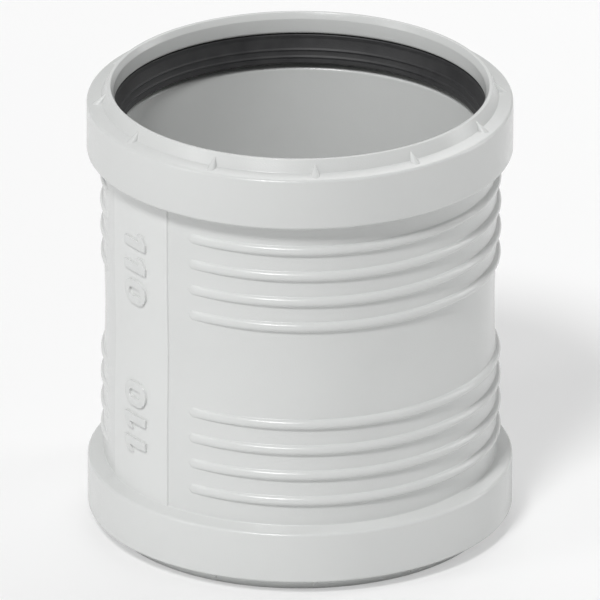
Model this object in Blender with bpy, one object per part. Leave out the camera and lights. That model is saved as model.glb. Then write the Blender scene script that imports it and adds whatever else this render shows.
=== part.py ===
"""Double socket coupling for push-fit drain pipe: one moulded body, and a lip seal in each socket.

The body stands on its lower rim at the origin and its label strip faces -Y. Places in a socket are given
as a radius and a depth below the socket's rim, and both sockets are the same.
"""

import math

import bmesh
import bpy
from mathutils import Matrix, Vector

MM = 0.001

# The pipe and the tube around it. The tube has a slight waist in the middle.
PIPE_RADIUS = 55.0 * MM
BORE_CLEARANCE = 0.5 * MM
WALL = 3.5 * MM
LENGTH = 139.4 * MM
WAIST_DEPTH = 0.45 * MM
WAIST_REACH = 25.0 * MM

# The collar at each mouth: a flat rim, a lead-in for the pipe and an outside that widens to its foot.
MOUTH_CLEARANCE = 0.8 * MM
RIM_WIDTH = 1.0 * MM
LEAD_IN_WIDTH = 1.0 * MM
LEAD_IN_DEPTH = 1.85 * MM
COLLAR_DRAFT = math.radians(26)

# The seal housing behind the collar: a groove, and shoulders that follow its sloping roof and floor.
ROOF_DEPTH = 6.6 * MM
GROOVE_WIDTH = 11.2 * MM
GROOVE_DEPTH = 5.1 * MM
FLOOR_WALL = 3.8 * MM
SHOULDER_SLOPE = math.radians(10)
HOUSING_FILLET = 1.0 * MM
EDGE_FILLET = 1.0 * MM

# The pipe stop half way along the bore.
STOP_HEIGHT = 3.2 * MM
STOP_WIDTH = 3.0 * MM
STOP_DRAFT = math.radians(15)

# The half-round ribs: a row behind each socket, counted from its shoulder, with tips that fade out
# beside the label strip.
RIB_COUNT = 4
RIB_START = 8.05 * MM
RIB_PITCH = 8.27 * MM
RIB_HEIGHT = 1.45 * MM
RIB_WIDTH = 3.0 * MM
RIB_TIP_GAP = 8.0 * MM
RIB_FADE = 55.0 * MM

# The raised label strip, from shoulder to shoulder.
STRIP_WIDTH = 28.1 * MM
STRIP_RISE = 0.5 * MM

# The pointed marks round each collar that show how far the coupling is turned.
MARK_COUNT = 12
MARK_RADIUS = 1.15 * MM
MARK_OFFSET = 0.45 * MM
MARK_TIP_DEPTH = 1.05 * MM

# The lip seal: a heel that fills the groove, and a lip that leans inwards over the pipe's surface.
SEAL_GAP = 0.3 * MM
SEAL_RECESS = 0.4 * MM
SEAL_LAND = 1.4 * MM
HEEL_THICKNESS = 2.7 * MM
LIP_SQUEEZE = 1.2 * MM
LIP_THICKNESS = 1.3 * MM
LIP_END_GAP = 2.2 * MM
SEAL_FILLET = 0.5 * MM

# What follows from those sizes.
BORE_RADIUS = PIPE_RADIUS + BORE_CLEARANCE
BODY_RADIUS = BORE_RADIUS + WALL
MOUTH_RADIUS = PIPE_RADIUS + MOUTH_CLEARANCE
GROOVE_RADIUS = BORE_RADIUS + GROOVE_DEPTH
HOUSING_RADIUS = GROOVE_RADIUS + WALL
MIDDLE = LENGTH / 2
ROOT = WALL / 2

# How finely round shapes are drawn.
STEPS_AROUND = 48
STEP = 2 * math.pi / STEPS_AROUND
ARC_STEP = math.radians(45)
WAIST_STEPS = 8
STRIP_STEPS = 4
MARK_SIDES = 12
SMOOTH_ANGLE = math.radians(50)

PALE_PLASTIC = (0.66, 0.67, 0.66, 1.0)
BLACK_RUBBER = (0.025, 0.025, 0.027, 1.0)


def around(radius, angle, height):
    """A point at this angle from the middle of the label strip."""
    return Vector((radius * math.sin(angle), -radius * math.cos(angle), height))


def roof(radius):
    """Depth of the groove's roof, which slopes away from the mouth as it goes outwards."""
    return ROOF_DEPTH + (radius - MOUTH_RADIUS) * math.tan(SHOULDER_SLOPE)


def floor(radius):
    """Depth of the groove's floor, which slopes the other way."""
    return ROOF_DEPTH + GROOVE_WIDTH - (radius - BORE_RADIUS) * math.tan(SHOULDER_SLOPE)


def front_shoulder(radius):
    """Depth of the housing's shoulder on the mouth side."""
    return roof(radius) - WALL / math.cos(SHOULDER_SLOPE)


def back_shoulder(radius):
    """Depth of the housing's shoulder on the side of the tube."""
    return floor(radius) + FLOOR_WALL / math.cos(SHOULDER_SLOPE)


def collar_foot():
    """Radius and depth of the edge where the collar's cone meets the front shoulder."""
    rim_radius = MOUTH_RADIUS + LEAD_IN_WIDTH + RIM_WIDTH
    spread = math.tan(COLLAR_DRAFT)
    depth = front_shoulder(rim_radius) / (1 - spread * math.tan(SHOULDER_SLOPE))
    return rim_radius + depth * spread, depth


def tube_radius(height):
    """Outside radius of the tube, with its waist."""
    from_middle = min(abs(height - MIDDLE) / WAIST_REACH, 1.0)
    return BODY_RADIUS - WAIST_DEPTH * (1 + math.cos(math.pi * from_middle)) / 2


def tube_heights():
    """Heights from the upper back shoulder down to the lower one."""
    reach = MIDDLE - back_shoulder(BODY_RADIUS)
    return [MIDDLE + reach * (1 - 2 * i / WAIST_STEPS) for i in range(WAIST_STEPS + 1)]


def rounded(corners):
    """The closed outline through (radius, height, fillet) corners, with each fillet drawn as an arc."""
    outline = []
    for i, (radius, height, fillet) in enumerate(corners):
        corner = Vector((radius, height))
        if not fillet:
            outline.append(corner)
            continue
        before = Vector(corners[i - 1][:2]) - corner
        after = Vector(corners[(i + 1) % len(corners)][:2]) - corner
        half = before.angle(after) / 2
        reach = min(fillet / math.tan(half), 0.45 * before.length, 0.45 * after.length)
        centre = corner + (before.normalized() + after.normalized()).normalized() * reach / math.cos(half)
        start = corner + before.normalized() * reach - centre
        turn = start.angle_signed(corner + after.normalized() * reach - centre)
        steps = max(2, math.ceil(abs(turn) / ARC_STEP - 0.01))
        outline += [centre + Matrix.Rotation(-turn * n / steps, 2) @ start for n in range(steps + 1)]
    return outline


def new_object(name, mesh, material=None):
    """An object in the scene. One with no material only helps to shape another, and is left out of renders."""
    piece = bpy.data.objects.new(name, mesh)
    bpy.context.scene.collection.objects.link(piece)
    if material:
        mesh.materials.append(material)
    else:
        piece.hide_render = True
        piece.display_type = "WIRE"
    return piece


def principled(name, colour, roughness):
    material = bpy.data.materials.new(name)
    material.use_nodes = True
    shader = material.node_tree.nodes["Principled BSDF"]
    shader.inputs["Base Color"].default_value = colour
    shader.inputs["Roughness"].default_value = roughness
    shader.inputs["Metallic"].default_value = 0.0
    material.diffuse_color = colour
    return material


def turned(name, outline, material):
    """A ring turned round Z from a closed (radius, height) outline that runs down its outer side.

    It starts half a step round, so that its own edges lie between those of the strip, the ribs and the marks.
    """
    mesh = bpy.data.meshes.new(name)
    edges = [(i, (i + 1) % len(outline)) for i in range(len(outline))]
    mesh.from_pydata([around(radius, STEP / 2, height) for radius, height in outline], edges, [])
    ring = new_object(name, mesh, material)
    screw = ring.modifiers.new("Turn", "SCREW")
    screw.steps = STEPS_AROUND
    screw.render_steps = STEPS_AROUND
    return ring


def lofted(name, lofts):
    """A helper object of closed skins, each over a row of sections with as many points as each other."""
    skin = bmesh.new()
    for sections in lofts:
        rings = [[skin.verts.new(point) for point in section] for section in sections]
        for ring, following in zip(rings, rings[1:]):
            for i in range(len(ring)):
                skin.faces.new((ring[i - 1], ring[i], following[i], following[i - 1]))
        skin.faces.new(rings[0][::-1])
        skin.faces.new(rings[-1])
    bmesh.ops.recalc_face_normals(skin, faces=skin.faces)
    mesh = bpy.data.meshes.new(name)
    skin.to_mesh(mesh)
    skin.free()
    return new_object(name, mesh)


def join(target, addition):
    """Fuses a helper object into the target."""
    union = target.modifiers.new(addition.name, "BOOLEAN")
    union.operation = "UNION"
    union.object = addition


def finish(piece):
    """Turns the piece's modifiers into its mesh, and shades its round faces smooth."""
    shape = piece.evaluated_get(bpy.context.evaluated_depsgraph_get())
    mesh = bpy.data.meshes.new_from_object(shape)
    mesh.shade_smooth()
    mesh.set_sharp_from_angle(angle=SMOOTH_ANGLE)
    piece.modifiers.clear()
    piece.data = mesh


def body_outline():
    """The wall's section: down the outside over both housings, and back up through both grooves."""
    rim_inside = MOUTH_RADIUS + LEAD_IN_WIDTH
    outside = [
        (rim_inside + RIM_WIDTH, 0, 0),
        (*collar_foot(), 0),
        (HOUSING_RADIUS, front_shoulder(HOUSING_RADIUS), HOUSING_FILLET),
        (HOUSING_RADIUS, back_shoulder(HOUSING_RADIUS), HOUSING_FILLET),
    ]
    stop_radius = BORE_RADIUS - STOP_HEIGHT
    stop_side = MIDDLE - STOP_WIDTH / 2
    inside = [
        (rim_inside, 0, 0),
        (MOUTH_RADIUS, LEAD_IN_DEPTH, 0),
        (MOUTH_RADIUS, roof(MOUTH_RADIUS), EDGE_FILLET),
        (GROOVE_RADIUS, roof(GROOVE_RADIUS), 0),
        (GROOVE_RADIUS, floor(GROOVE_RADIUS), 0),
        (BORE_RADIUS, floor(BORE_RADIUS), EDGE_FILLET),
        (BORE_RADIUS, stop_side - STOP_HEIGHT * math.tan(STOP_DRAFT), 0),
        (stop_radius, stop_side, 0),
    ]
    tube = [(tube_radius(height), height, 0) for height in tube_heights()]
    down = [(radius, LENGTH - depth, fillet) for radius, depth, fillet in outside] + tube + outside[::-1]
    up = inside + [(radius, LENGTH - depth, fillet) for radius, depth, fillet in inside[::-1]]
    return rounded(down + up)


def label_strip():
    """The strip's shape: a slice of the tube, raised, rooted in the wall and run into both shoulders."""
    ends = [tube_heights()[0] + ROOT, *tube_heights(), tube_heights()[-1] - ROOT]
    outline = [(tube_radius(height) + STRIP_RISE, height) for height in ends]
    outline += [(BODY_RADIUS - ROOT, ends[-1]), (BODY_RADIUS - ROOT, ends[0])]
    half_angle = STRIP_WIDTH / 2 / BODY_RADIUS
    angles = [half_angle * (2 * i / STRIP_STEPS - 1) for i in range(STRIP_STEPS + 1)]
    return lofted("label_strip", [[[around(r, angle, z) for r, z in outline] for angle in angles]])


def rib_section(middle_height, angle):
    """A rib's half-round section at this angle. Near its tips it is lower, and its end is rounded."""
    from_tip = min(angle, 2 * math.pi - angle) * BODY_RADIUS - STRIP_WIDTH / 2 - RIB_TIP_GAP
    rise = 1 - min(from_tip / RIB_FADE, 1.0)
    taper = 1 - min(from_tip / (RIB_WIDTH / 2), 1.0)
    height = RIB_HEIGHT * math.sqrt(1 - rise * rise)
    half_width = RIB_WIDTH / 2 * math.sqrt(1 - taper * taper)
    foot = tube_radius(middle_height)
    section = [around(foot - ROOT, angle, middle_height - half_width)]
    for turn in (-60, -20, 20, 60):
        out, up = height * math.cos(math.radians(turn)), half_width * math.sin(math.radians(turn))
        section.append(around(foot + out, angle, middle_height + up))
    section.append(around(foot - ROOT, angle, middle_height + half_width))
    return section


def ribs():
    """Both rows of ribs, each rib running round the back from one side of the strip to the other."""
    tip_angle = (STRIP_WIDTH / 2 + RIB_TIP_GAP) / BODY_RADIUS
    tip_turn = RIB_WIDTH / 2 / BODY_RADIUS
    tip = [tip_angle + tip_turn * share for share in (0.1, 0.4, 1.0)]
    first = math.floor(tip[-1] / STEP) + 1
    angles = tip + [STEP * n for n in range(first, STEPS_AROUND - first + 1)]
    angles += [2 * math.pi - angle for angle in reversed(tip)]
    shoulder = back_shoulder(BODY_RADIUS)
    depths = [shoulder + RIB_START + RIB_PITCH * n for n in range(RIB_COUNT)]
    heights = depths + [LENGTH - depth for depth in depths]
    return lofted("ribs", [[rib_section(height, angle) for angle in angles] for height in heights])


def angle_marks():
    """The marks of both sockets: cones that stand on the front shoulder and lean on the collar."""
    foot_radius, foot_depth = collar_foot()
    stand_radius = foot_radius + MARK_OFFSET
    stand = Vector((stand_radius, -front_shoulder(stand_radius)))
    on_collar = foot_radius - (foot_depth - MARK_TIP_DEPTH) * math.tan(COLLAR_DRAFT)
    tip = Vector((on_collar - MARK_RADIUS / 8, -MARK_TIP_DEPTH))
    length = (tip - stand).length
    base = stand + (stand - tip).normalized() * ROOT
    marks = bmesh.new()
    for n in range(MARK_COUNT):
        angle = 2 * math.pi * n / MARK_COUNT
        start, end = around(base.x, angle, LENGTH + base.y), around(tip.x, angle, LENGTH + tip.y)
        lean = (end - start).to_track_quat("Z", "Y").to_matrix().to_4x4()
        bmesh.ops.create_cone(
            marks,
            cap_ends=True,
            segments=MARK_SIDES,
            radius1=MARK_RADIUS * (length + ROOT) / length,
            radius2=0,
            depth=length + ROOT,
            matrix=Matrix.Translation((start + end) / 2) @ lean,
        )
    copies = bmesh.ops.duplicate(marks, geom=marks.faces[:])["geom"]
    flipped = Matrix.Translation((0, 0, LENGTH)) @ Matrix.Scale(-1, 4, (0, 0, 1))
    copied_corners = [item for item in copies if isinstance(item, bmesh.types.BMVert)]
    bmesh.ops.transform(marks, matrix=flipped, verts=copied_corners)
    bmesh.ops.recalc_face_normals(marks, faces=marks.faces)
    mesh = bpy.data.meshes.new("angle_marks")
    marks.to_mesh(mesh)
    marks.free()
    return new_object("angle_marks", mesh)


def seal_outline():
    """The seal's section, with the rim at height 0. The pipe pushes the lip outwards as it slides in."""
    outer = GROOVE_RADIUS - SEAL_GAP
    inner = MOUTH_RADIUS + SEAL_RECESS
    heel = outer - HEEL_THICKNESS
    lip_radius = PIPE_RADIUS - LIP_SQUEEZE
    land_depth = roof(inner) + SEAL_GAP + SEAL_LAND
    lip_depth = floor(BORE_RADIUS) - LIP_END_GAP
    lip = Vector((lip_radius - inner, lip_depth - land_depth)).normalized()
    thickness = Vector((lip.y, -lip.x)) * LIP_THICKNESS
    behind_tip = Vector((lip_radius, lip_depth)) + thickness
    crotch_depth = behind_tip.y - (heel - behind_tip.x) * lip.y / -lip.x
    corners = [
        (outer, roof(outer) + SEAL_GAP, 0),
        (outer, floor(outer) - SEAL_GAP, 0),
        (heel, floor(heel) - SEAL_GAP, 0),
        (heel, crotch_depth, 0),
        (behind_tip.x, behind_tip.y, SEAL_FILLET),
        (lip_radius, lip_depth, SEAL_FILLET),
        (inner, land_depth, 0),
        (inner, roof(inner) + SEAL_GAP, 0),
    ]
    return rounded([(radius, -depth, fillet) for radius, depth, fillet in corners])


for leftover in list(bpy.data.objects):
    bpy.data.objects.remove(leftover)

plastic = principled("pale_polypropylene", PALE_PLASTIC, 0.45)
body = turned("coupling_body", body_outline(), plastic)
for addition in (label_strip(), ribs(), angle_marks()):
    join(body, addition)
finish(body)

rubber = principled("black_rubber", BLACK_RUBBER, 0.6)
upper_seal = turned("upper_lip_seal", seal_outline(), rubber)
finish(upper_seal)
upper_seal.location = (0, 0, LENGTH)
lower_seal = new_object("lower_lip_seal", upper_seal.data.copy(), rubber)
lower_seal.rotation_euler = (math.pi, 0, 0)
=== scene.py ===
import math

import bpy
from mathutils import Matrix, Vector


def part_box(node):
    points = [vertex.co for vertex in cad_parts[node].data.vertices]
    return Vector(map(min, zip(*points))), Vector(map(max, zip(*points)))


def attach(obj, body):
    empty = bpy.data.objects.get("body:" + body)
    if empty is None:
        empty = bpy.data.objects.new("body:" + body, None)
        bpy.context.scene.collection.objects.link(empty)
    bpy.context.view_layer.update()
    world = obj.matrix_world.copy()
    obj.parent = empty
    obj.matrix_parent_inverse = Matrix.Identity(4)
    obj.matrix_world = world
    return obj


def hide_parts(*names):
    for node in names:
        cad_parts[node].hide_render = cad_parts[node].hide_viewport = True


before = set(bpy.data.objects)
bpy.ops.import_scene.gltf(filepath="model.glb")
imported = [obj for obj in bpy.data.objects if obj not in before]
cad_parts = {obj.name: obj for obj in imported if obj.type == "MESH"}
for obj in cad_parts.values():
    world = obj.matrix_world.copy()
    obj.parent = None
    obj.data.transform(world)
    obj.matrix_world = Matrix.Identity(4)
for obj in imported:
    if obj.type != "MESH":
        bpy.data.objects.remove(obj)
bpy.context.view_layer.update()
bpy.context.scene.view_settings.view_transform = "Standard"

# Coupling body: one injection moulding of pale grey polypropylene, all of it a single piece. A tube with a
# slight waist joins two sockets. Each socket is a seal housing with a collar in front of it, and the ribs,
# the label strip, the turning marks and the raised size stand out of the same wall.
mm = 0.001
body_low, body_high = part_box("coupling_body")
middle = (body_low.z + body_high.z) / 2
half_length = (body_high.z - body_low.z) / 2

pipe_radius = 55.0 * mm
bore_clearance = 0.5 * mm
mouth_clearance = 0.8 * mm
wall = 3.5 * mm
floor_wall = 3.8 * mm
lead_in_width = 1.0 * mm
lead_in_depth = 1.85 * mm
rim_width = 1.0 * mm
roof_depth = 6.6 * mm
groove_width = 11.2 * mm
groove_depth = 5.1 * mm
shoulder_slope = math.tan(math.radians(10))
collar_spread = math.tan(math.radians(26))
stop_height = 3.2 * mm
stop_width = 3.0 * mm
stop_draft = math.tan(math.radians(15))
waist_depth = 0.45 * mm
waist_reach = 25.0 * mm

bore_radius = pipe_radius + bore_clearance
mouth_radius = pipe_radius + mouth_clearance
groove_radius = bore_radius + groove_depth
tube_radius = bore_radius + wall
housing_radius = body_high.x
rim_inner = mouth_radius + lead_in_width
rim_outer = rim_inner + rim_width


def groove_roof(radius):
    """Depth below the rim of the seal groove's roof, at this radius."""
    return roof_depth + (radius - mouth_radius) * shoulder_slope


def groove_floor(radius):
    """Depth of the groove's floor, which slopes the other way."""
    return roof_depth + groove_width - (radius - bore_radius) * shoulder_slope


def front_shoulder(radius):
    """Depth of the housing's sloping face on the mouth side. It follows the groove's roof."""
    return groove_roof(radius) - wall * math.hypot(1, shoulder_slope)


def back_shoulder(radius):
    """Depth of the housing's face on the tube's side. It follows the groove's floor."""
    return groove_floor(radius) + floor_wall * math.hypot(1, shoulder_slope)


def waisted(height):
    """Outside radius of the tube at this height."""
    share = min(abs(height - middle) / waist_reach, 1.0)
    return tube_radius - waist_depth * (1 + math.cos(math.pi * share)) / 2


def around(radius, angle, height):
    """A point at this angle from the middle of the label strip, which faces -Y."""
    return Vector((radius * math.sin(angle), -radius * math.cos(angle), height))


def rounded(corners, arc_step=math.radians(15), edge_share=0.45):
    """The closed outline through (radius, height, fillet) corners, with each fillet drawn as an arc.

    A fillet takes up no more than edge_share of the edges beside it.
    """
    outline = []
    for i, (radius, height, fillet) in enumerate(corners):
        corner = Vector((radius, height))
        if not fillet:
            outline.append(corner)
            continue
        before = Vector(corners[i - 1][:2]) - corner
        after = Vector(corners[(i + 1) % len(corners)][:2]) - corner
        half = before.angle(after) / 2
        reach = min(fillet / math.tan(half), edge_share * before.length, edge_share * after.length)
        centre = corner + (before.normalized() + after.normalized()).normalized() * reach / math.cos(half)
        start = corner + before.normalized() * reach - centre
        turn = start.angle_signed(corner + after.normalized() * reach - centre)
        steps = max(2, math.ceil(abs(turn) / arc_step))
        outline += [centre + Matrix.Rotation(-turn * n / steps, 2) @ start for n in range(steps + 1)]
    return outline


# The ribs: half-round, with a small fillet at each foot. They get lower towards the label strip and end
# beside it in a blunt tip, which has rib_tip_share of a rib's width.
rib_count = 4
rib_start = 8.05 * mm
rib_pitch = 8.27 * mm
rib_radius = 1.5 * mm
rib_height = 1.45 * mm
rib_fillet = 0.35 * mm
rib_fade = 55.0 * mm
rib_tip_gap = 8.0 * mm
rib_tip_share = 0.4
strip_half = 14.05 * mm
strip_rise = 0.5 * mm
strip_edge = 0.4 * mm
rib_foot = math.sqrt((rib_radius + rib_fillet) ** 2 - rib_fillet ** 2)
fillet_end = rib_foot * rib_radius / (rib_radius + rib_fillet)
tube_reach = half_length - back_shoulder(tube_radius)
rib_offsets = [tube_reach - rib_start - rib_pitch * n for n in range(rib_count)]
rib_heights = [middle + side * offset for side in (1, -1) for offset in rib_offsets]


def rib_profile(offset):
    """Height of a full rib at this distance from its middle line."""
    offset = abs(offset)
    if offset > fillet_end:
        return rib_fillet - math.sqrt(max(rib_fillet ** 2 - (rib_foot - offset) ** 2, 0.0))
    return math.sqrt(rib_radius ** 2 - offset ** 2) * rib_height / rib_radius


# The tube's outline has a corner at each of these heights: many over each rib, and a few in the waist.
crown_lines = [fillet_end * math.sin(math.radians(turn)) for turn in range(-90, 91, 15)]
foot_lines = [fillet_end + (rib_foot - fillet_end) * share for share in (0.33, 0.66, 1.0)]
rib_lines = crown_lines + foot_lines + [-line for line in foot_lines]
waist_pitch = 3.2 * mm
waist_end = 20.0 * mm
waist_lines = [waist_pitch * n for n in range(1, 5)] + [waist_end]
tube_heights = [middle] + [middle + side * line for side in (1, -1) for line in waist_lines]
tube_heights += [height + line for height in rib_heights for line in rib_lines]
tube_heights.sort(reverse=True)

# Each socket's corners are (radius, depth below its rim, fillet), from the rim inwards along the coupling.
rim_fillet = 0.25 * mm
collar_fillet = 0.35 * mm
stop_fillet = 0.4 * mm
corner_fillet = 0.5 * mm
lead_in_fillet = 0.6 * mm
stop_foot_fillet = 0.8 * mm
edge_fillet = 1.0 * mm
collar_depth = front_shoulder(rim_outer) / (1 - collar_spread * shoulder_slope)
collar_radius = rim_outer + collar_depth * collar_spread
stop_side = half_length - stop_width / 2
outside = [
    (rim_outer, 0, rim_fillet),
    (collar_radius, collar_depth, collar_fillet),
    (housing_radius, front_shoulder(housing_radius), edge_fillet),
    (housing_radius, back_shoulder(housing_radius), edge_fillet),
    (tube_radius, back_shoulder(tube_radius), corner_fillet),
]
inside = [
    (rim_inner, 0, rim_fillet),
    (mouth_radius, lead_in_depth, lead_in_fillet),
    (mouth_radius, groove_roof(mouth_radius), edge_fillet),
    (groove_radius, groove_roof(groove_radius), corner_fillet),
    (groove_radius, groove_floor(groove_radius), corner_fillet),
    (bore_radius, groove_floor(bore_radius), edge_fillet),
    (bore_radius, stop_side - stop_height * stop_draft, stop_foot_fillet),
    (bore_radius - stop_height, stop_side, stop_fillet),
]


def upper(corners):
    """A socket's corners at the upper end, as (radius, height, fillet)."""
    return [(radius, body_high.z - depth, fillet) for radius, depth, fillet in corners]


def lower(corners):
    """The same corners at the lower end, in the other order."""
    return [(radius, body_low.z + depth, fillet) for radius, depth, fillet in reversed(corners)]


tube = [(waisted(height), height, 0) for height in tube_heights]
down_outside = upper(outside) + tube + lower(outside)
up_inside = lower(inside)[::-1] + upper(inside)[::-1]
wall_section = rounded(down_outside + up_inside)
weld_distance = 0.002 * mm


def spun(name, section, sweeps):
    """A ring: the closed section is spun round Z in sweeps of (angle, steps), and its ends are welded."""
    bpy.ops.object.select_all(action="DESELECT")
    bpy.ops.mesh.primitive_circle_add(
        vertices=len(section), radius=1, fill_type="NOTHING", location=(0, 0, 0)
    )
    ring = bpy.context.object
    ring.name = name
    for corner, (radius, height) in zip(ring.data.vertices, section):
        corner.co = around(radius, 0, height)
    bpy.ops.object.mode_set(mode="EDIT")
    bpy.ops.mesh.select_all(action="SELECT")
    for angle, steps in sweeps:
        bpy.ops.mesh.spin(steps=steps, angle=angle, center=(0, 0, 0), axis=(0, 0, 1))
    bpy.ops.mesh.select_all(action="SELECT")
    bpy.ops.mesh.remove_doubles(threshold=weld_distance)
    bpy.ops.mesh.normals_make_consistent(inside=False)
    bpy.ops.object.mode_set(mode="OBJECT")
    return ring


# The body is spun in stretches of (arc, steps) from the strip's middle to the back, and on round the other
# side. The steps are close together at the strip's edges and where the ribs rise from their tips.
steep_rise_arc = 6.0 * mm
gentle_rise_arc = 18.0 * mm
stretches = [
    (strip_half - strip_edge, 8),
    (2 * strip_edge, 12),
    (rib_tip_gap - strip_edge, 6),
    (rib_radius, 8),
    (steep_rise_arc, 10),
    (gentle_rise_arc, 14),
]
stretches.append((math.pi * tube_radius - sum(arc for arc, steps in stretches), 70))
half_sweep = [(arc / tube_radius, steps) for arc, steps in stretches]
body = spun("moulded_body", wall_section, half_sweep + half_sweep[::-1])

# Only the tube's outside and the fillets at its two ends are raised: corners that lie within these
# distances of its radius and its length. The strip's ends lean with the shoulders over shoulder_run.
below_tube = 1.0 * mm
above_tube = 0.48 * mm
past_shoulder = 0.1 * mm
shoulder_run = 0.45 * mm
foot_margin = 0.01 * mm


def eased(share):
    """A smooth step from 0 to 1."""
    share = min(max(share, 0.0), 1.0)
    return share * share * (3 - 2 * share)


def shape_tube(corner):
    """Raises the label strip and the ribs out of the plain tube."""
    radius = math.hypot(corner.x, corner.y)
    angle = math.atan2(corner.x, -corner.y)
    from_middle = corner.z - middle
    on_outside = tube_radius - below_tube <= radius <= tube_radius + above_tube
    if not on_outside or abs(from_middle) > tube_reach + past_shoulder:
        return corner
    arc = abs(angle) * tube_radius
    lift = strip_rise * eased((strip_half - arc) / strip_edge + 0.5)
    at_shoulder = min(max(1 - (tube_reach - abs(from_middle)) / shoulder_run, 0.0), 1.0)
    height = corner.z + math.copysign(lift * shoulder_slope * at_shoulder, from_middle)
    nearest = min(rib_heights, key=lambda rib: abs(rib - corner.z))
    if abs(corner.z - nearest) < rib_foot + foot_margin:
        from_tip = max(arc - strip_half - rib_tip_gap, 0.0)
        rise = 1 - min(from_tip / rib_fade, 1.0)
        taper = 1 - min(from_tip / rib_radius, 1.0)
        lift += rib_profile(corner.z - nearest) * math.sqrt(1 - rise * rise)
        height = nearest + (corner.z - nearest) * max(math.sqrt(1 - taper * taper), rib_tip_share)
    return around(radius + lift + waisted(height) - waisted(corner.z), angle, height)


for vertex in body.data.vertices:
    vertex.co = shape_tube(vertex.co)


def merge(target, addition):
    """Makes a shape that is rooted in the target's wall part of its mesh."""
    bpy.ops.object.select_all(action="DESELECT")
    addition.select_set(True)
    target.select_set(True)
    bpy.context.view_layer.objects.active = target
    bpy.ops.object.join()


# The turning marks: one small cone for every 30 degrees, standing on the front shoulder and leaning on
# the collar, with its root in the wall. The first is on the label strip's middle line.
mark_count = 12
mark_sides = 32
mark_radius = 1.15 * mm
mark_from_collar = 0.45 * mm
mark_tip_depth = 1.05 * mm
mark_tip_sunk = 0.12 * mm
mark_tip_radius = 0.08 * mm
tip_radius = rim_outer + mark_tip_depth * collar_spread - mark_tip_sunk
stand_radius = collar_radius + mark_from_collar
mark_tip = Vector((tip_radius, body_high.z - mark_tip_depth))
mark_stand = Vector((stand_radius, body_high.z - front_shoulder(stand_radius)))
mark_root = mark_stand + (mark_stand - mark_tip).normalized() * wall / 2
mark_length = (mark_root - mark_tip).length
mark_top = around(mark_tip.x, 0, mark_tip.y)
mark_bottom = around(mark_root.x, 0, mark_root.y)
bpy.ops.object.select_all(action="DESELECT")
bpy.ops.mesh.primitive_cone_add(
    vertices=mark_sides,
    radius1=mark_radius * mark_length / (mark_stand - mark_tip).length,
    radius2=mark_tip_radius,
    depth=mark_length,
    location=(mark_top + mark_bottom) / 2,
    rotation=(mark_top - mark_bottom).to_track_quat("Z", "Y").to_euler(),
)
marks = bpy.context.object
bpy.ops.object.transform_apply(location=True, rotation=True, scale=True)
bpy.ops.object.mode_set(mode="EDIT")
bpy.ops.mesh.select_all(action="SELECT")
bpy.ops.mesh.spin(steps=mark_count, dupli=True, angle=2 * math.pi, center=(0, 0, 0), axis=(0, 0, 1))
bpy.ops.mesh.select_all(action="SELECT")
bpy.ops.mesh.remove_doubles(threshold=weld_distance)
bpy.ops.mesh.select_all(action="SELECT")
bpy.ops.mesh.duplicate()
bpy.ops.transform.resize(value=(1, 1, -1), center_override=(0, 0, middle))
bpy.ops.mesh.select_all(action="SELECT")
bpy.ops.mesh.normals_make_consistent(inside=False)
bpy.ops.object.mode_set(mode="OBJECT")
merge(body, marks)

# Raised numerals give the nominal size, once for each socket and read from that socket's end. Each outline
# is a row of (forward, up) points. The flat lettering is cut across, so that it can bend round the strip.
half_cap = 5.2 * mm
numeral_stroke = 2.3 * mm
numeral_rise = 0.8 * mm
numeral_sunk = 0.4 * mm
numeral_bevel = 0.12 * mm
half_stroke = numeral_stroke / 2
flag_start = 0.35 * numeral_stroke
flag_end = 1.4 * numeral_stroke
flag_top = half_cap - 1.6 * mm
flag_joint = half_cap - 2.6 * mm
flag_bottom = half_cap - 4.0 * mm
zero_half_width = 3.7 * mm
one = [
    (half_stroke, half_cap),
    (half_stroke, -half_cap),
    (-half_stroke, -half_cap),
    (-half_stroke, flag_joint),
    (-flag_end, flag_bottom),
    (-flag_end, flag_top),
    (-flag_start, half_cap),
]


def oval(half_width, half_height):
    """An upright oval with straight sides and round ends."""
    reach = half_height - half_width
    upper_arc = [math.radians(turn) for turn in range(0, 181, 12)]
    upper_end = [(half_width * math.cos(turn), reach + half_width * math.sin(turn)) for turn in upper_arc]
    return upper_end + [(-forward, -up) for forward, up in upper_end]


zero = oval(zero_half_width, half_cap)
zero_hole = oval(zero_half_width - numeral_stroke, half_cap - numeral_stroke)
first_place = -8.4 * mm
second_place = -0.7 * mm
third_place = 7.4 * mm
size_outlines = ((one, first_place), (one, second_place), (zero, third_place), (zero_hole, third_place))
size_from_middle = 24.0 * mm
cuts_each_side = 4


def on_strip(point, side):
    """Where a point of the flat lettering lies on the strip. The lower end's is turned half round."""
    height = middle + side * (size_from_middle - point.x)
    raised = point.z + (numeral_rise - numeral_sunk) / 2
    return around(waisted(height) + strip_rise + raised, side * point.y / tube_radius, height)


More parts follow.
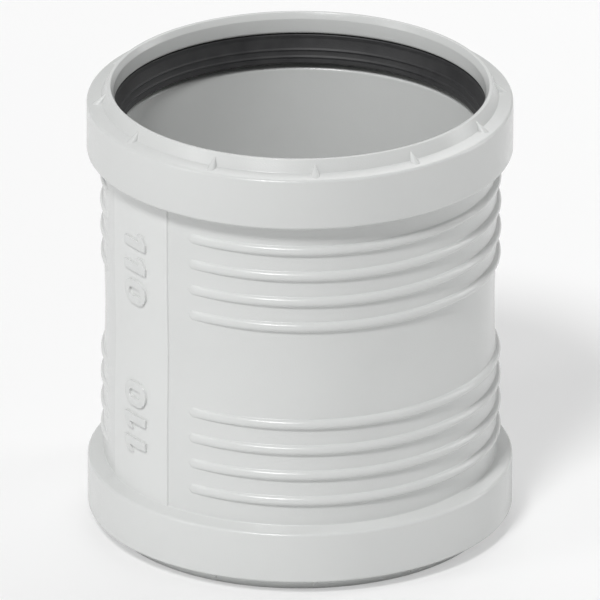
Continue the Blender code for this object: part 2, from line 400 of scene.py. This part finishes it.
for side in (1, -1):
    bpy.ops.curve.primitive_bezier_circle_add(location=(0, 0, 0))
    lettering = bpy.context.object
    lettering.data.dimensions = "2D"
    lettering.data.fill_mode = "BOTH"
    lettering.data.splines.clear()
    for outline, forward in size_outlines:
        drawn = lettering.data.splines.new("POLY")
        drawn.use_cyclic_u = True
        drawn.points.add(len(outline) - 1)
        for point, (x, y) in zip(drawn.points, outline):
            point.co = (x + forward, y, 0, 1)
    lettering.data.extrude = (numeral_rise + numeral_sunk) / 2 - numeral_bevel
    lettering.data.bevel_depth = numeral_bevel
    lettering.data.bevel_resolution = 2
    bpy.ops.object.convert(target="MESH")
    lettering = bpy.context.object
    bpy.ops.object.mode_set(mode="EDIT")
    bpy.ops.mesh.select_all(action="SELECT")
    bpy.ops.mesh.remove_doubles(threshold=weld_distance)
    for cut in range(-cuts_each_side, cuts_each_side + 1):
        bpy.ops.mesh.select_all(action="SELECT")
        bpy.ops.mesh.bisect(plane_co=(0, half_cap * cut / cuts_each_side, 0), plane_no=(0, 1, 0))
    bpy.ops.object.mode_set(mode="OBJECT")
    for vertex in lettering.data.vertices:
        vertex.co = on_strip(vertex.co, side)
    merge(body, lettering)

crease_angle = math.radians(30)


def shade_smooth(piece):
    """Shades a piece smooth, apart from its creases, and leaves it selected alone."""
    bpy.ops.object.select_all(action="DESELECT")
    piece.select_set(True)
    bpy.context.view_layer.objects.active = piece
    bpy.ops.object.shade_smooth_by_angle(angle=crease_angle)


shade_smooth(body)


class Value:
    """A node's output. Arithmetic on it adds Math nodes."""

    def __init__(self, finish, socket):
        self.finish = finish
        self.socket = socket

    def __add__(self, other):
        return self.finish.maths("ADD", self, other)

    def __sub__(self, other):
        return self.finish.maths("SUBTRACT", self, other)

    def __rsub__(self, other):
        return self.finish.maths("SUBTRACT", other, self)

    def __mul__(self, other):
        return self.finish.maths("MULTIPLY", self, other)

    __radd__ = __add__
    __rmul__ = __mul__


class Finish:
    """A material on the Principled shader. add() makes a node: its settings first, then its sockets."""

    def __init__(self, name):
        self.material = bpy.data.materials.new(name)
        self.material.use_nodes = True
        self.shader = self.material.node_tree.nodes["Principled BSDF"]

    def connect(self, node, sockets):
        """Gives each named socket of a node its value or its link."""
        for key, value in sockets.items():
            if isinstance(value, Value):
                self.material.node_tree.links.new(value.socket, node.inputs[key])
            else:
                node.inputs[key].default_value = value

    def add(self, kind, settings, sockets, output=0):
        node = self.material.node_tree.nodes.new(kind)
        for key, value in settings.items():
            setattr(node, key, value)
        self.connect(node, sockets)
        return Value(self, node.outputs[output])

    def maths(self, operation, first, second=0.0):
        return self.add("ShaderNodeMath", {"operation": operation}, {0: first, 1: second})

    def noise(self, place, patches, detail):
        """Noise between 0 and 1 with about this many patches to the metre."""
        sockets = {"Vector": place, "Scale": patches, "Detail": detail}
        return self.add("ShaderNodeTexNoise", {}, sockets, "Fac")

    def tint(self, share, first, second):
        """A colour between two others."""
        return self.add("ShaderNodeMix", {"data_type": "RGBA"}, {0: share, 6: first, 7: second}, 2)

    def bump(self, height, distance, strength, below=None):
        """A surface raised by height, over the bumps of another one."""
        sockets = {"Height": height, "Distance": distance, "Strength": strength}
        if below:
            sockets["Normal"] = below
        return self.add("ShaderNodeBump", {}, sockets)


# The plastic has a satin skin with slow waves and a fine moulded grain. The strip between the shoulders is
# polished, without the grain, and up to half the height of its numerals its colour is painted a little
# lighter:
# painted light, which sets the strip's edges off from the tube.
pale_grey = (0.64, 0.65, 0.642, 1)
light_grey = (0.71, 0.72, 0.712, 1)
cloud_lightness = 0.4
grain_lightness = 0.2
painted_strip_light = 0.6
least_roughness = 0.16
cloud_roughness = 0.09
grain_roughness = 0.02
polish_and_light_radius = tube_radius + strip_rise + numeral_rise / 2
plastic = Finish("pale_polypropylene")
place = plastic.add("ShaderNodeTexCoord", {}, {}, "Object")
cloud = plastic.noise(place, patches=45.0, detail=3.0)
ripple = plastic.noise(place, patches=160.0, detail=1.0)
grain = plastic.noise(place, patches=2600.0, detail=3.0)
x, y, z = (plastic.add("ShaderNodeSeparateXYZ", {}, {"Vector": place}, axis) for axis in "XYZ")
from_strip = plastic.maths("ABSOLUTE", plastic.maths("ARCTAN2", x, 0.0 - y))
from_middle = plastic.maths("ABSOLUTE", z - middle)
from_axis = plastic.maths("SQRT", x * x + y * y)
within_width = plastic.maths("LESS_THAN", from_strip, strip_half / tube_radius)
within_length = plastic.maths("LESS_THAN", from_middle, tube_reach)
outside_wall = plastic.maths("GREATER_THAN", from_axis, bore_radius + wall / 2)
below_numerals = plastic.maths("LESS_THAN", from_axis, polish_and_light_radius)
polish_and_painted_light = within_width * within_length * outside_wall * below_numerals
textured_grain = grain * (1.0 - polish_and_painted_light)
# The strip's share of the lightness is painted light: the strip's colour is painted lighter than the rest
# of the plastic.
lightness = cloud * cloud_lightness + textured_grain * grain_lightness + polish_and_painted_light * painted_strip_light
waves = plastic.bump(ripple, distance=0.12 * mm, strength=0.4)
plastic.connect(plastic.shader, {
    "Base Color": plastic.tint(lightness, pale_grey, light_grey),
    "Roughness": least_roughness + cloud_roughness * cloud + grain_roughness * textured_grain,
    "Normal": plastic.bump(textured_grain, distance=0.06 * mm, strength=0.8, below=waves),
})
plastic.shader.inputs["IOR"].default_value = 1.49
body.data.materials.clear()
body.data.materials.append(plastic.material)
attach(body, "root")
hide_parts("coupling_body")

# Lip seals: a moulded ring of black rubber in each groove. The heel fills the groove, and the lip leans
# inwards and away from the mouth, so that the pipe bends it aside and water presses it shut. Two low ridges
# run round the lip.
seal_gap = 0.3 * mm
heel_thickness = 2.7 * mm
heel_fillet = 0.5 * mm
crotch_fillet = 0.4 * mm
land_recess = 0.4 * mm
land_length = 1.4 * mm
land_fillet = 0.8 * mm
land_edge_fillet = 0.4 * mm
lip_squeeze = 1.2 * mm
lip_end_gap = 2.2 * mm
lip_thickness = 1.3 * mm
lip_fillet = 0.5 * mm
ridge_height = 0.3 * mm
ridge_half = 0.5 * mm
ridge_fillet = 0.25 * mm
ridge_foot_fillet = 0.2 * mm
first_ridge = 2.0 * mm
second_ridge = 4.2 * mm
seal_steps = 192

heel_outer = groove_radius - seal_gap
heel_inner = heel_outer - heel_thickness
land_radius = mouth_radius + land_recess
land_end = groove_roof(land_radius) + seal_gap + land_length
lip_tip = Vector((pipe_radius - lip_squeeze, groove_floor(bore_radius) - lip_end_gap))
lip_run = (lip_tip - Vector((land_radius, land_end))).normalized()
lip_outwards = Vector((lip_run.y, -lip_run.x))
lip_back = lip_tip + lip_outwards * lip_thickness
crotch = lip_back.y - (heel_inner - lip_back.x) * lip_run.y / -lip_run.x


def ridge(from_tip):
    """The corners of a low ridge round the lip, at this distance from its tip."""
    centre = lip_tip - lip_run * from_tip
    return [
        (*(centre + lip_run * ridge_half), ridge_foot_fillet),
        (*(centre - lip_outwards * ridge_height), ridge_fillet),
        (*(centre - lip_run * ridge_half), ridge_foot_fillet),
    ]


seal_corners = [
    (heel_outer, groove_roof(heel_outer) + seal_gap, heel_fillet),
    (heel_outer, groove_floor(heel_outer) - seal_gap, heel_fillet),
    (heel_inner, groove_floor(heel_inner) - seal_gap, heel_fillet),
    (heel_inner, crotch, crotch_fillet),
    (*lip_back, lip_fillet),
    (*lip_tip, lip_fillet),
    *ridge(first_ridge),
    *ridge(second_ridge),
    (land_radius, land_end, land_fillet),
    (land_radius, groove_roof(land_radius) + seal_gap, land_edge_fillet),
]
seal_section = rounded(upper(seal_corners))
upper_seal = spun("upper_seal_ring", seal_section, [(2 * math.pi, seal_steps)])
shade_smooth(upper_seal)
bpy.ops.object.duplicate()
lower_seal = bpy.context.object
lower_seal.name = "lower_seal_ring"
bpy.ops.object.mode_set(mode="EDIT")
bpy.ops.mesh.select_all(action="SELECT")
bpy.ops.transform.rotate(value=math.pi, orient_axis="X", center_override=(0, 0, middle))
bpy.ops.object.mode_set(mode="OBJECT")

# The rubber is black and matt, with a faint uneven bloom and a fine skin.
fresh_black = (0.018, 0.018, 0.020, 1)
bloomed_black = (0.042, 0.042, 0.043, 1)
fresh_roughness = 0.36
bloom_roughness = 0.25
rubber = Finish("black_rubber")
place = rubber.add("ShaderNodeTexCoord", {}, {}, "Object")
bloom = rubber.noise(place, patches=220.0, detail=4.0)
skin = rubber.noise(place, patches=3000.0, detail=2.0)
rubber.connect(rubber.shader, {
    "Base Color": rubber.tint(bloom, fresh_black, bloomed_black),
    "Roughness": fresh_roughness + bloom_roughness * bloom,
    "Normal": rubber.bump(skin, distance=0.05 * mm, strength=0.6),
})
for seal, node in ((upper_seal, "upper_lip_seal"), (lower_seal, "lower_lip_seal")):
    seal.data.materials.clear()
    seal.data.materials.append(rubber.material)
    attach(seal, "root")
    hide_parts(node)

# Floor: a plain pale studio floor, which is not part of the coupling. The camera sees it whiter than the
# coupling does, so the background is near white and the coupling still has its shadow.
floor_grey = (0.88, 0.88, 0.88, 1)
floor_whitening = 0.35
bpy.ops.object.select_all(action="DESELECT")
bpy.ops.mesh.primitive_plane_add(size=8, location=(0, 0, body_low.z))
studio_floor = bpy.context.object
studio_floor.name = "studio_floor"
paint = Finish("floor_paint")
paint.connect(paint.shader, {"Base Color": floor_grey, "Roughness": 0.9, "Specular IOR Level": 0.1})
seen = paint.add("ShaderNodeLightPath", {}, {}, "Is Camera Ray")
white = paint.add("ShaderNodeEmission", {}, {"Color": (1, 1, 1, 1), "Strength": 1.0})
lit = Value(paint, paint.shader.outputs["BSDF"])
whitened = paint.add("ShaderNodeMixShader", {}, {0: floor_whitening * seen, 1: lit, 2: white})
paint.connect(paint.material.node_tree.nodes["Material Output"], {"Surface": whitened})
studio_floor.data.materials.append(paint.material)

# Camera: level with the drawing's view, 23 degrees above the horizon, with the strip at the left. It stands
# far away behind a long lens, because the drawing has hardly any perspective.
view_azimuth = math.radians(55.6)
view_elevation = math.radians(23.17)
picture_width = 180.3 * mm
aim_below_middle = 0.45 * mm
aim = Vector((0, 0, middle - aim_below_middle))


def direction(azimuth, elevation):
    """The way from the coupling towards this azimuth, counted from the strip's side, and elevation."""
    return Matrix.Rotation(azimuth, 3, "Z") @ Vector((0, -math.cos(elevation), math.sin(elevation)))


bpy.ops.object.camera_add()
camera = bpy.context.object
camera.data.lens = 1600
camera.data.sensor_width = 36
camera.data.clip_end = 40
toward_camera = direction(view_azimuth, view_elevation)
camera.location = aim + toward_camera * picture_width * camera.data.lens / camera.data.sensor_width
camera.rotation_euler = toward_camera.to_track_quat("Z", "Y").to_euler()
bpy.context.scene.camera = camera

# Light: a soft key from high on the left, so that ribs and numerals throw their shade downwards and the
# round wall darkens to the right. A narrow softbox stands on each side and a broad one hangs behind.
key_left_turn = math.radians(22)
key_elevation = math.radians(50)
toward_key = direction(view_azimuth - key_left_turn, key_elevation)
bpy.ops.object.light_add(type="SUN")
key = bpy.context.object
key.name = "key"
key.data.energy = 1.8
key.data.angle = math.radians(12)
key.rotation_euler = toward_key.to_track_quat("Z", "Y").to_euler()
lamp_distance = 1.3
for name, turn, elevation, width, height, power in (
    ("left_softbox", -64, 26, 0.22, 1.3, 3.0),
    ("right_softbox", 105, 22, 0.25, 1.2, 3.5),
    ("back_softbox", 170, 50, 0.8, 0.8, 4.0),
):
    bpy.ops.object.light_add(type="AREA")
    lamp = bpy.context.object
    lamp.name = name
    lamp.data.shape = "RECTANGLE"
    lamp.data.size = width
    lamp.data.size_y = height
    lamp.data.energy = power
    toward_lamp = direction(view_azimuth + math.radians(turn), math.radians(elevation))
    lamp.location = aim + toward_lamp * lamp_distance
    lamp.rotation_euler = toward_lamp.to_track_quat("Z", "Y").to_euler()

# The room is white all round. It lights the coupling faintly, and the camera sees it plain white.
room_light = 0.28
room_seen = 1.0
room = bpy.data.worlds.new("white_room")
bpy.context.scene.world = room
room.use_nodes = True
background = room.node_tree.nodes["Background"]
background.inputs["Color"].default_value = (1, 1, 1, 1)
rays = room.node_tree.nodes.new("ShaderNodeLightPath")
strength = room.node_tree.nodes.new("ShaderNodeMapRange")
strength.inputs["To Min"].default_value = room_light
strength.inputs["To Max"].default_value = room_seen
room.node_tree.links.new(rays.outputs["Is Camera Ray"], strength.inputs["Value"])
room.node_tree.links.new(strength.outputs["Result"], background.inputs["Strength"])
